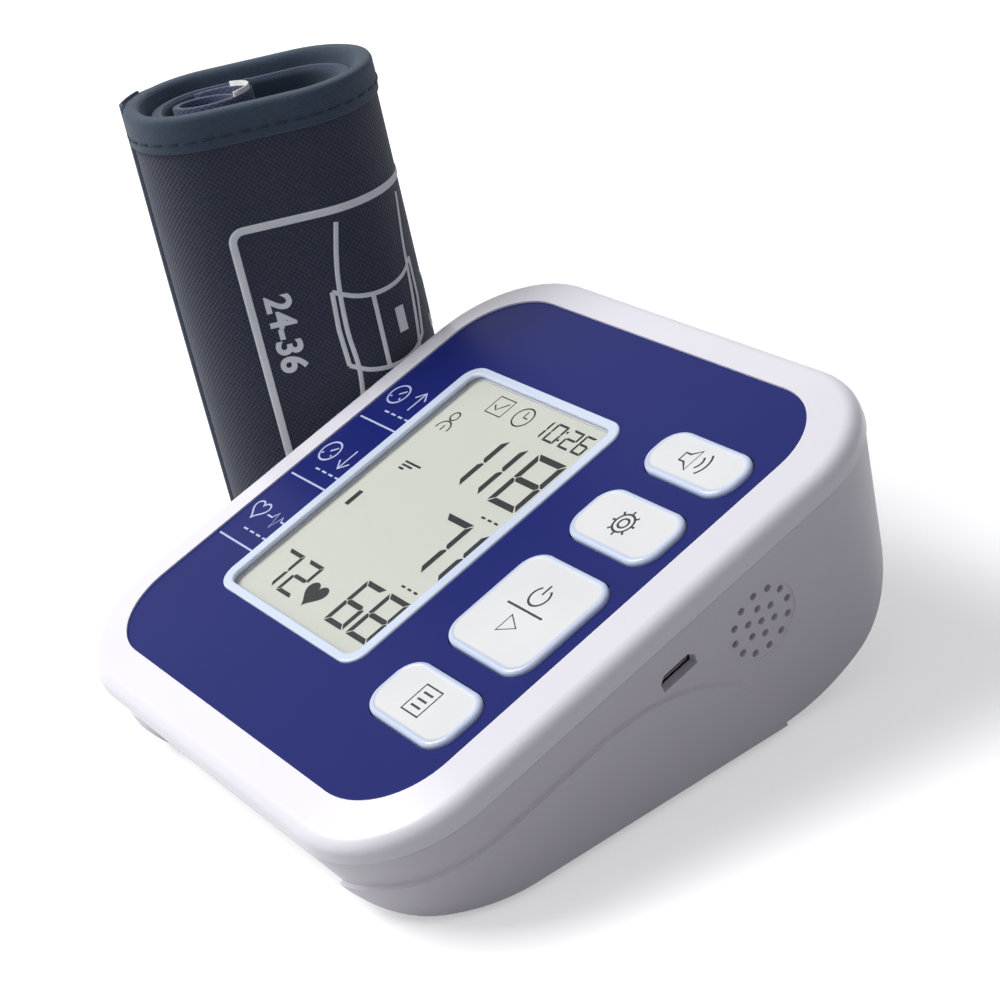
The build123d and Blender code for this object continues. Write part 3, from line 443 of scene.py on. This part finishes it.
def digit_shapes(digit, x, y, width, height, bar):
    """Filled bars of one display digit, from its lower left corner."""
    gap = 0.12 * bar
    middle, top, right = height / 2, height, width
    reach = middle + gap
    shapes = {
        "a": [(gap * 2, top), (right - gap * 2, top), (right - bar - gap, top - bar), (bar + gap, top - bar)],
        "d": [(gap * 2, 0), (bar + gap, bar), (right - bar - gap, bar), (right - gap * 2, 0)],
        "g": [(bar * 0.5 + gap, middle), (bar + gap, middle + bar / 2), (right - bar - gap, middle + bar / 2),
              (right - bar * 0.5 - gap, middle), (right - bar - gap, middle - bar / 2), (bar + gap, middle - bar / 2)],
        "f": [(0, reach), (bar * 0.5, reach), (bar, middle + bar / 2 + gap), (bar, top - bar - gap),
              (0, top - gap * 2)],
        "e": [(0, gap * 2), (bar, bar + gap), (bar, middle - bar / 2 - gap), (bar * 0.5, top - reach),
              (0, top - reach)],
        "b": [(right, reach), (right, top - gap * 2), (right - bar, top - bar - gap),
              (right - bar, middle + bar / 2 + gap), (right - bar * 0.5, reach)],
        "c": [(right, gap * 2), (right, top - reach), (right - bar * 0.5, top - reach),
              (right - bar, middle - bar / 2 - gap), (right - bar, bar + gap)],
    }
    return [[(x + px, y + py) for px, py in shapes[b]] for b in digit_bars[digit]]


def heart(x, y, size):
    """Filled heart, from its middle."""
    outline = []
    for n in range(28):
        t = 2 * math.pi * n / 28
        hx = 16 * math.sin(t) ** 3
        hy = 13 * math.cos(t) - 5 * math.cos(2 * t) - 2 * math.cos(3 * t) - math.cos(4 * t)
        outline.append((x + size * hx / 32, y + size * (hy + 2) / 32))
    return outline


# Display: places are on a layout grid whose unit is layout_scale millimetres
lcd_digits = [
    ("1", -15.2, 8.0, 5.6, 13.2, 1.35), ("1", -9.1, 8.0, 5.6, 13.2, 1.35), ("8", -0.3, 8.0, 8.8, 13.2, 1.35),
    ("7", -5.0, -10.8, 8.7, 13.2, 1.35), ("1", 3.6, -10.8, 5.6, 13.2, 1.35),
    ("6", -5.2, -27.4, 6.4, 10.8, 1.1), ("8", 2.4, -27.4, 6.9, 10.8, 1.1),
    ("7", -30.0, -27.4, 5.6, 8.5, 0.85), ("2", -22.7, -27.4, 5.4, 8.5, 0.85),
    ("1", -8.0, 24.0, 3.3, 4.8, 0.5), ("0", -3.6, 24.0, 3.3, 4.8, 0.5),
    ("2", 1.2, 24.0, 3.3, 4.8, 0.5), ("6", 5.2, 24.0, 3.0, 4.8, 0.5),
]
lcd_shapes = [shape for digit in lcd_digits for shape in digit_shapes(*digit)]
lcd_shapes.append(heart(-13.2, -24.6, 6.2))
lcd_shapes += [box_outline(-29.5, -3.8, 1.3, 3.9)[:4]]
lcd_shapes += [box_outline(x, y, 0.5, 0.5)[:4] for x, y in ((0.3, 27.6), (0.1, 25.3))]
lcd_shapes += [box_outline(x, y, 1.1, 0.45)[:4] for y in (4.6, -14.4) for x in (3.4, 5.4, 7.4)]
lcd_shapes += [box_outline(-25.0 - drop, 7.9 - drop, 5.2 - 2 * drop, 0.45)[:4] for drop in (0.0, 0.9, 1.8)]
lcd_lines = [
    box_outline(-20.8, 27.0, 5.0, 4.4), [(-22.4, 27.0), (-21.2, 25.9), (-19.2, 28.2)],
    ring(-13.0, 26.8, 2.4), [(-13.0, 28.4), (-13.0, 26.8), (-11.7, 26.8)],
    ring(-28.4, 21.0, 1.1, 20), arc(-28.4, 17.6, 1.9, -10, 190), [(-28.4, 17.0), (-28.4, 18.4)],
]
printed("lcd_figures", lcd_black, "console", on_face(lcd_level + print_gap),
        moved(lcd_lines, 0, 0, layout_scale), 0.44, moved(lcd_shapes, 0, 0, layout_scale))

# Symbols beside the display: upper reading, lower reading and pulse
gauge = [ring(0, 0, 2.5), [(0, 0), (1.3, 1.3)], [(-1.7, -1.1), (-1.3, -0.8)], [(1.3, -0.8), (1.7, -1.1)]]
arrow_up = [[(0, -2.5), (0, 2.6)], [(-1.7, 0.8), (0, 2.7), (1.7, 0.8)]]
arrow_down = [[(x, -y) for x, y in stroke] for stroke in arrow_up]
pulse = [[(-3.2, 0), (-1.5, 0), (-0.7, 1.5), (0.4, -2.2), (1.3, 1.0), (1.9, 0), (3.2, 0)]]
heart_shape = heart(0, 0, 4.8)
heart_line = [heart_shape + heart_shape[:1]]
side_rows = ((19.7, gauge, arrow_up), (2.0, gauge, arrow_down), (-16.0, heart_line, pulse))
side_lines = []
for height, left_symbol, right_symbol in side_rows:
    side_lines += moved(left_symbol, -46.0, height) + moved(right_symbol, -39.4, height)
    side_lines += [[(x, height - 4.6), (x + 1.5, height - 4.6)] for x in (-44.6, -42.2, -39.8, -37.4)]
    side_lines.append([(-49.0, height - 7.9), (-36.2, height - 7.9)])
printed("side_symbols", ink_pale, "console", on_face(0.0), moved(side_lines, 0, 0, layout_scale),
        side_width)

# Symbols on the keys
speaker_symbol = [[(-3.4, -1.0), (-2.0, -1.0), (-0.2, -2.6), (-0.2, 2.6), (-2.0, 1.0), (-3.4, 1.0), (-3.4, -1.0)],
                  arc(-0.2, 0, 2.1, -42, 42, 8), arc(-0.2, 0, 3.7, -42, 42, 10)]
gear_symbol = [ring(0, 0, 1.1, 18), ring(0, 0, 2.2, 24)]
gear_symbol += [[(math.cos(math.radians(a)) * 2.2, math.sin(math.radians(a)) * 2.2),
                 (math.cos(math.radians(a)) * 3.1, math.sin(math.radians(a)) * 3.1)] for a in range(0, 360, 45)]
power_symbol = moved([arc(0, 0, 2.2, 125, 415, 22), [(0, 0.5), (0, 2.9)]], 0, 3.6)
power_symbol += [[(-5.2, 0), (5.2, 0)], [(-1.4, -5.8), (-1.4, -1.8), (2.2, -3.8), (-1.4, -5.8)]]
list_symbol = [box_outline(0, 0, 5.0, 6.0)] + [[(-1.4, y), (1.4, y)] for y in (-1.5, 0.0, 1.5)]
key_symbols = {"sound": speaker_symbol, "set": gear_symbol, "start": power_symbol, "memory": list_symbol}
for key, symbol in key_symbols.items():
    drawing = moved(symbol, key_centre - 0.6, key_places[key][0], key_symbol_scale)
    printed(f"{key}_symbol", ink_dark, f"{key}_key", on_face(key_top), drawing, key_symbol_width)


# Rolled cuff: flat strips, in millimetres along and up, wrapped round its oval

flat_half = cuff_width / 2 - cuff_corner
short_side = cuff_depth - 2 * cuff_corner
quarter = math.pi / 2 * cuff_corner
oval_runs = [(flat_half, 0), (quarter, 1), (short_side, 0), (quarter, 1), (2 * flat_half, 0), (quarter, 1),
             (short_side, 0), (quarter, 1), (flat_half, 0)]
oval_length = sum(run for run, turning in oval_runs)
cuff_frame = Matrix.Translation(cuff_centre * mm) @ Matrix.Rotation(math.radians(cuff_turn), 4, "Z")


def oval_point(along):
    """Point on the cuff's oval and the direction out of it, from the middle of its broad front face."""
    along %= oval_length
    x, y, heading = cuff_depth / 2, 0.0, math.pi / 2
    for run, turning in oval_runs:
        step = min(along, run)
        if turning:
            end = heading + step / cuff_corner
            x += cuff_corner * (math.sin(end) - math.sin(heading))
            y -= cuff_corner * (math.cos(end) - math.cos(heading))
            heading = end
        else:
            x += step * math.cos(heading)
            y += step * math.sin(heading)
        along -= step
        if along <= 1e-9:
            break
    return x, y, math.sin(heading), -math.cos(heading)


def cloth_wave(along, up):
    """Slow unevenness of the rolled cloth, outwards only, in millimetres."""
    wave = math.sin(along * 0.11 + up * 0.021) + 0.6 * math.sin(along * 0.053 - up * 0.047 + 1.3)
    waist = 1 - (2 * up / cuff_height - 1) ** 2
    return (0.22 + 0.14 * wave) * (0.3 + 0.7 * waist)


def round_cuff(lift):
    """Wraps a flat strip round the cuff, a number of millimetres out of its outer face; lift may vary along it."""
    def place(point):
        x, y, out_x, out_y = oval_point(point.x)
        out = point.z + (lift(point.x, point.y) if callable(lift) else lift) + cloth_wave(point.x, point.y)
        return cuff_frame @ (Vector((x + out * out_x, y + out * out_y, point.y)) * mm)
    return place


def strip(name, material, start, end, low, high, place, thickness, step=2.0, rise=4.0, closed=False):
    """A cloth strip with its own UV map in metres, wrapped by a place function and given a thickness inwards."""
    bm = bmesh.new()
    across, up = max(1, round((end - start) / step)), max(1, round((high - low) / rise))
    bmesh.ops.create_grid(bm, x_segments=across, y_segments=up, size=0.5)
    bmesh.ops.scale(bm, vec=(end - start, high - low, 1), verts=bm.verts)
    bmesh.ops.translate(bm, vec=((start + end) / 2, (low + high) / 2, 0), verts=bm.verts)
    cloth_uv = bm.loops.layers.uv.new("cloth")
    for face in bm.faces:
        for loop in face.loops:
            loop[cloth_uv].uv = (loop.vert.co.x * mm, loop.vert.co.y * mm)
    for vertex in bm.verts:
        vertex.co = place(vertex.co)
    if closed:
        bmesh.ops.remove_doubles(bm, verts=bm.verts, dist=0.05 * mm)
    piece = finished(bm, name, material, "cuff", smooth=True)
    wall = piece.modifiers.new("wall", "SOLIDIFY")
    wall.thickness = thickness * mm
    wall.offset = -1
    course = [place(Vector((start + (end - start) * n / across, (low + high) / 2, 0))) for n in range(across + 1)]
    unrolled = sum((b - a).length for a, b in zip(course, course[1:]))
    return piece


outer_cloth = strip("cuff_cover_cloth", cuff_cloth, -oval_length / 2, oval_length / 2, 0.5,
                    cuff_height - 0.6, round_cuff(0.0), 1.2, closed=True)
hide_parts("cuff_outer_cloth")


def ease(value):
    value = min(1.0, max(0.0, value))
    return value * value * (3 - 2 * value)


def near_edge(up, reach=9.0):
    """1 at the cuff's upper and lower edges, 0 further than a reach from them."""
    return 1 - ease(min(up, cuff_height - up) / reach)


def lining_lift(along, up):
    return -3.7 + 1.6 * near_edge(up)


lining_cloth = strip("cuff_lining_cloth", cuff_inside, -oval_length / 2, oval_length / 2, 0.6,
                     cuff_height - 0.8, round_cuff(lining_lift), 1.0, closed=True)
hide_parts("cuff_lining")


def inner_lift(along, up):
    loose = 0.5 + 0.5 * math.sin(along * 0.045 + 2.2)
    return -5.5 - 0.9 * loose * ease(up / cuff_height) + 0.8 * near_edge(up)


inner_cloth = strip("cuff_inner_cloth", cuff_inside, -oval_length / 2, oval_length / 2, 0.4,
                    inner_top, round_cuff(inner_lift), 2.4, closed=True)
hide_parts("cuff_inner_turn")


def folded(profile, level, sign, base):
    """Folds a tape over a long edge of the cuff: its rise is the distance along a profile of (out, rise) points."""
    def place(point):
        travel = point.y
        for (out_a, rise_a), (out_b, rise_b) in zip(profile, profile[1:]):
            step = math.dist((out_a, rise_a), (out_b, rise_b))
            share = min(1.0, travel / step)
            if share < 1.0:
                break
            travel -= step
        out = out_a + (out_b - out_a) * share
        rise = rise_a + (rise_b - rise_a) * share
        x, y, out_x, out_y = oval_point(point.x)
        out += cloth_wave(point.x, level) + (base(point.x, level) if callable(base) else base)
        return cuff_frame @ (Vector((x + out * out_x, y + out * out_y, level + sign * rise)) * mm)
    return place


def edge_tape(name, profile, level, sign, base):
    """One binding all round the cuff; the sign is 1 at the top and -1 at the bottom."""
    run = sum(math.dist(a, b) for a, b in zip(profile, profile[1:]))
    strip(name, binding_tape, 0.0, oval_length, 0.0, run, folded(profile, level, sign, base), tape_wall,
          rise=0.5, closed=True)


tape_profile = [(0.25, -8.3), (0.6, -8.1), (0.7, -4.0), (0.65, -1.0), (0.3, -0.2), (-0.5, 0.1), (-2.2, 0.1),
                (-3.0, -0.3), (-3.5, -1.2), (-4.2, -4.0), (-5.0, -7.6)]
inner_profile = [(0.3, -7.0), (0.45, -4.0), (0.4, -0.8), (0.0, 0.0), (-1.2, 0.2), (-2.4, 0.0), (-2.9, -0.8),
                 (-2.9, -7.0)]
edge_tape("cuff_top_binding", tape_profile, cuff_height - 0.1, 1, 0.0)
edge_tape("cuff_bottom_binding", tape_profile[::-1], 0.1, -1, 0.0)
edge_tape("cuff_inner_binding", inner_profile, inner_top, 1, inner_lift)

# Free end of the outer turn, bound along its edge, at the side away from the display
flap_edge = -43.0
flap_end = -61.0


def flap_lift(along, up):
    return 0.15 + 1.25 * ease((along - flap_end) / 10)


strip("cuff_end_flap", cuff_cloth, flap_end, flap_edge, 0.6, cuff_height - 0.4, round_cuff(flap_lift), 1.1)
strip("cuff_end_binding", binding_tape, flap_edge - 9.8, flap_edge + 0.6, 0.2, cuff_height + 0.1,
      round_cuff(lambda along, up: 1.85 - 1.3 * ease((along - flap_edge + 0.8) / 1.4)), 0.6, step=0.7)

# Curled inner end of the strip, with a plain sewn-in tag
curl_length = 48.0
curl_turns = 1.35
curl_start = math.radians(200)
curl_radius = 7.4
curl_shrink = 3.6
curl_x, curl_y = 0.4, -9.5
curl_stretch_x, curl_stretch_y = 0.95, 1.35


def curled(out):
    """Lays a flat strip along the curl inside the roll; its run is in millimetres from the curl's outer end."""
    def place(point):
        share = point.x / curl_length
        angle = curl_start - curl_turns * 2 * math.pi * share
        away = curl_radius - curl_shrink * share + point.z + out
        x = curl_x + away * math.cos(angle) * curl_stretch_x
        y = curl_y + away * math.sin(angle) * curl_stretch_y
        rise = point.y + 0.8 * math.sin(share * 5.0)
        return cuff_frame @ (Vector((x, y, rise)) * mm)
    return place


strip("cuff_curled_end", cuff_inside, 0.0, curl_length, 4.0, cuff_height - 2.4, curled(0.0), 1.6,
      step=1.0)
strip("cuff_tag", tag_cloth, 5.0, 15.6, cuff_height - 11.8, cuff_height - 1.2, curled(0.5), 0.35,
      step=1.0)


def stitches(name, points, lift, upright=False):
    """A row of short raised stitches on the cuff, from their middles."""
    bm = bmesh.new()
    size = (0.5, 3.0, 0.4) if upright else (3.0, 0.5, 0.4)
    for x, y in points:
        made = bmesh.ops.create_cube(bm, size=1.0)["verts"]
        bmesh.ops.scale(bm, vec=size, verts=made)
        bmesh.ops.translate(bm, vec=(x, y, 0), verts=made)
    bmesh.ops.bevel(bm, geom=bm.edges, offset=0.12, segments=1, affect="EDGES", profile=0.5, material=-1)
    lay = round_cuff(lift)
    for vertex in bm.verts:
        vertex.co = lay(vertex.co)
    finished(bm, name, thread, "cuff", smooth=True)


stitch_count = 38
stitch_row = 5.9
stitch_lift = 0.72
stitch_places = [oval_length * (n + 0.5) / stitch_count for n in range(stitch_count)]
stitches("cuff_top_stitches", [(x, cuff_height - stitch_row) for x in stitch_places], stitch_lift)
stitches("cuff_bottom_stitches", [(x, stitch_row) for x in stitch_places], stitch_lift)
stitches("cuff_end_stitches", [(flap_edge - 5.6, 4.0 + 4.2 * n) for n in range(27)], 1.9, upright=True)


# Printed panel on the cuff: frame, plain numbers and a drawing of an arm in its band
def numerals(text, size, x, y, turning):
    curve = bpy.data.curves.new("numerals", "FONT")
    curve.body = text
    curve.size = size
    curve.offset = 0.03 * size
    curve.extrude = 0.06
    curve.align_x = "CENTER"
    curve.align_y = "CENTER"
    holder = bpy.data.objects.new("numerals", curve)
    mesh = bpy.data.meshes.new_from_object(holder)
    bpy.data.objects.remove(holder)
    mesh.transform(Matrix.Translation((x, y, 0)) @ Matrix.Rotation(math.radians(turning), 4, "Z"))
    return mesh


def rounded_outline(x0, x1, y0, y1, corner):
    made = arc(x1 - corner, y1 - corner, corner, 0, 90, 6) + arc(x0 + corner, y1 - corner, corner, 90, 180, 6)
    made += arc(x0 + corner, y0 + corner, corner, 180, 270, 6) + arc(x1 - corner, y0 + corner, corner, 270, 360, 6)
    return made + made[:1]


def curve_through(*points, steps=8):
    """Smooth line through a few points."""
    ends = [points[0]] + list(points) + [points[-1]]
    made = []
    for p0, p1, p2, p3 in zip(ends, ends[1:], ends[2:], ends[3:]):
        for n in range(steps):
            t = n / steps
            made.append(tuple(
                0.5 * (2 * b + (c - a) * t + (2 * a - 5 * b + 4 * c - d) * t * t + (3 * b - a - 3 * c + d) * t ** 3)
                for a, b, c, d in zip(p0, p1, p2, p3)
            ))
    return made + [points[-1]]


frame_line = finer(rounded_outline(-11.3, 48.0, 19.0, 91.0, 3.0), 1.5)
printed("cuff_print_frame", ink_white, "cuff", round_cuff(print_lift), [frame_line], 1.9, depth=0.14)
arm_lines = [
    curve_through((13.0, 88.0), (10.5, 76.0), (9.5, 62.0), (10.0, 50.0), (8.0, 36.0), (5.5, 24.0)),
    curve_through((33.0, 88.0), (30.5, 76.0), (29.0, 62.0), (27.0, 50.0), (22.5, 38.0), (18.0, 24.0)),
    curve_through((8.2, 71.5), (14.0, 69.0), (20.5, 68.2), (27.0, 69.2), (31.6, 71.8)),
    curve_through((8.0, 52.5), (13.0, 50.2), (19.5, 49.4), (25.0, 50.4), (29.4, 52.8)),
    [(8.2, 71.5), (7.6, 62.0), (8.0, 52.5)],
    [(31.6, 71.8), (31.4, 62.0), (29.4, 52.8)],
    [(17.5, 68.4), (17.3, 49.7)],
    curve_through((23.5, 50.0), (24.5, 43.0), (30.0, 38.5), (37.0, 37.5)),
    curve_through((37.0, 66.0), (40.5, 61.5), (40.3, 55.5), (36.5, 51.5)),
    [(36.3, 54.9), (36.5, 51.5), (39.8, 51.7)],
]
arm_lines = [finer(line, 1.5) for line in arm_lines]
arm_shapes = [box_outline(23.4, 59.5, 2.6, 6.4)[:4], ring(37.6, 37.5, 1.3, 14)[:-1]]
printed("cuff_print_drawing", ink_white, "cuff", round_cuff(print_lift), arm_lines, 1.15, arm_shapes,
        [numerals("24-36", 8.6, -5.0, 64.0, -90)], depth=0.12)

# Floor and light: the camera, and what mirrors and clear pieces show, see white; the light itself is dimmer

def seen_directly(tree):
    """1 for camera, glossy and transmission rays, 0 for the rest."""
    path = node(tree, "LightPath")
    through = maths(tree, "MAXIMUM", path["Is Glossy Ray"], path["Is Transmission Ray"])
    return maths(tree, "MAXIMUM", path["Is Camera Ray"], through)


floor_bm = bmesh.new()
bmesh.ops.create_grid(floor_bm, x_segments=1, y_segments=1, size=6.0)
floor_mesh = bpy.data.meshes.new("floor")
floor_bm.to_mesh(floor_mesh)
floor_bm.free()
floor = bpy.data.objects.new("floor", floor_mesh)
bpy.context.scene.collection.objects.link(floor)
floor_look, floor_tree, floor_shader = new_material("floor_look", Roughness=0.9)
floor_mask = seen_directly(floor_tree)
floor_colour = blend_colours(floor_tree, floor_mask, (0.32, 0.32, 0.33, 1), (0.93, 0.93, 0.93, 1))
floor_tree.links.new(floor_colour, floor_shader.inputs["Base Color"])
floor_shader.inputs["Emission Color"].default_value = (1, 1, 1, 1)
floor_tree.links.new(maths(floor_tree, "MULTIPLY", floor_mask, 0.4), floor_shader.inputs["Emission Strength"])
floor_mesh.materials.append(floor_look)

world = bpy.data.worlds.new("world")
bpy.context.scene.world = world
world.use_nodes = True
sky_tree = world.node_tree
sky = sky_tree.nodes["Background"]
sky_colour = blend_colours(sky_tree, seen_directly(sky_tree), (0.27, 0.27, 0.29, 1), (1, 1, 1, 1))
sky_tree.links.new(sky_colour, sky.inputs["Color"])


def soft_lamp(name, energy, size, place, target=(0, 0, 0.03)):
    data = bpy.data.lights.new(name, "AREA")
    data.energy = energy
    data.size = size
    lamp = bpy.data.objects.new(name, data)
    lamp.location = place
    lamp.rotation_mode = "QUATERNION"
    lamp.rotation_quaternion = (Vector(target) - Vector(place)).to_track_quat("-Z", "Y")
    bpy.context.scene.collection.objects.link(lamp)


soft_lamp("key_lamp", 24.0, 0.9, (-0.75, -0.75, 1.35))
soft_lamp("front_fill", 2.6, 1.0, (-0.4, -1.5, 0.5))
